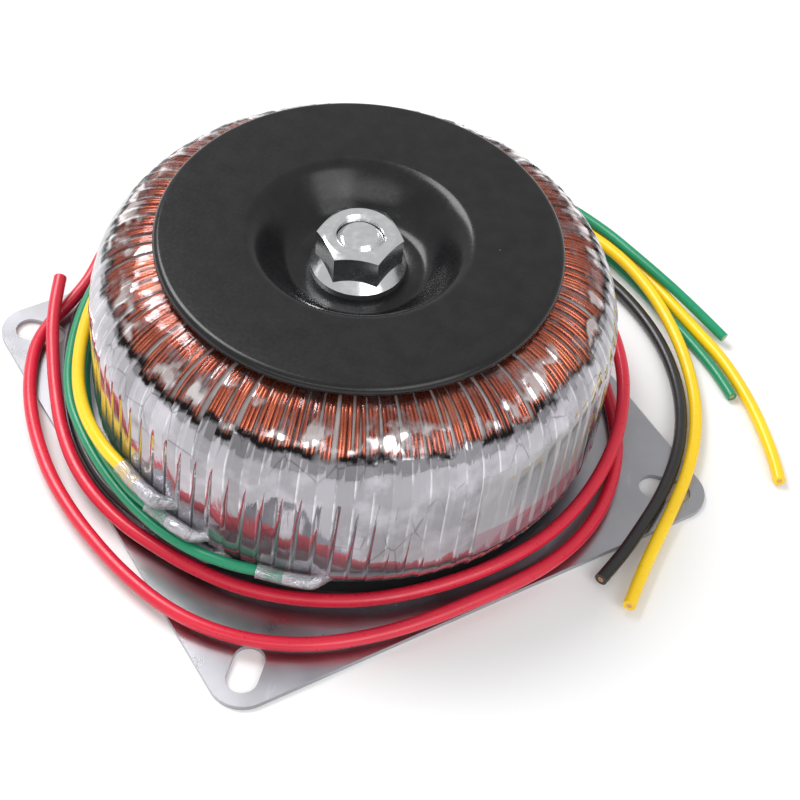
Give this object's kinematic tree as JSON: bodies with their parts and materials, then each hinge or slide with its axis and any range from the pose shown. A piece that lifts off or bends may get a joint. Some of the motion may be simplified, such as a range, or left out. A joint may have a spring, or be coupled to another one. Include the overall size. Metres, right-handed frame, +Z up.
{
  "type": "toroidal transformer",
  "caption": "Toroidal mains transformer with film-wrapped copper windings, clamped to a square slotted mounting plate by a dished black washer and a central bolt, with loose coloured leads.",
  "frame": {"origin": "centre of the mounting plate's underside, on the bolt's axis", "axes": "+Z up along the bolt from the plate to the nut; X and Y along the plate's two diagonals, through its slots; the leads leave the winding clockwise seen from above"},
  "size_m": [0.1503, 0.1402, 0.0465],
  "materials": {
    "mounting_plate": "bright zinc-coated sheet, semi-gloss",
    "lower_pad": "matt",
    "core": "edge of wound steel strip",
    "core_insulation": "polyester tape",
    "primary_winding": "enamelled copper wire",
    "interwinding_insulation": "polyester tape",
    "secondary_winding_a": "enamelled copper wire",
    "secondary_winding_b": "enamelled copper wire",
    "label": "plain white with a pink lower band, under film",
    "outer_film": "clear polyester film in glossy overlapping turns",
    "lead_splices": "shrunk sleeve",
    "upper_pad": "matt",
    "top_cap": "satin black",
    "bolt": "bright zinc",
    "flange_nut": "bright zinc",
    "red_sleeve": "smooth vinyl sleeve",
    "black_sleeve": "smooth vinyl sleeve",
    "yellow_sleeve": "smooth vinyl sleeve",
    "green_sleeve": "smooth vinyl sleeve"
  },
  "bodies": {
    "root": {"mounting_plate": "mounting_plate", "lower_pad": "lower_pad", "core": "core", "core_insulation": "core_insulation", "primary_winding": "primary_winding", "interwinding_insulation": "interwinding_insulation", "secondary_winding_a": "secondary_winding_a", "secondary_winding_b": "secondary_winding_b", "label": "label", "outer_film": "outer_film", "lead_splices": "lead_splices", "upper_pad": "upper_pad", "top_cap": "top_cap", "bolt": "bolt", "flange_nut": "flange_nut", "red_lead_1": "red_sleeve", "red_lead_2": "red_sleeve", "black_lead": "black_sleeve", "yellow_lead_1": "yellow_sleeve", "yellow_lead_2": "yellow_sleeve", "green_lead_1": "green_sleeve", "green_lead_2": "green_sleeve"}
  },
  "joints": []
}
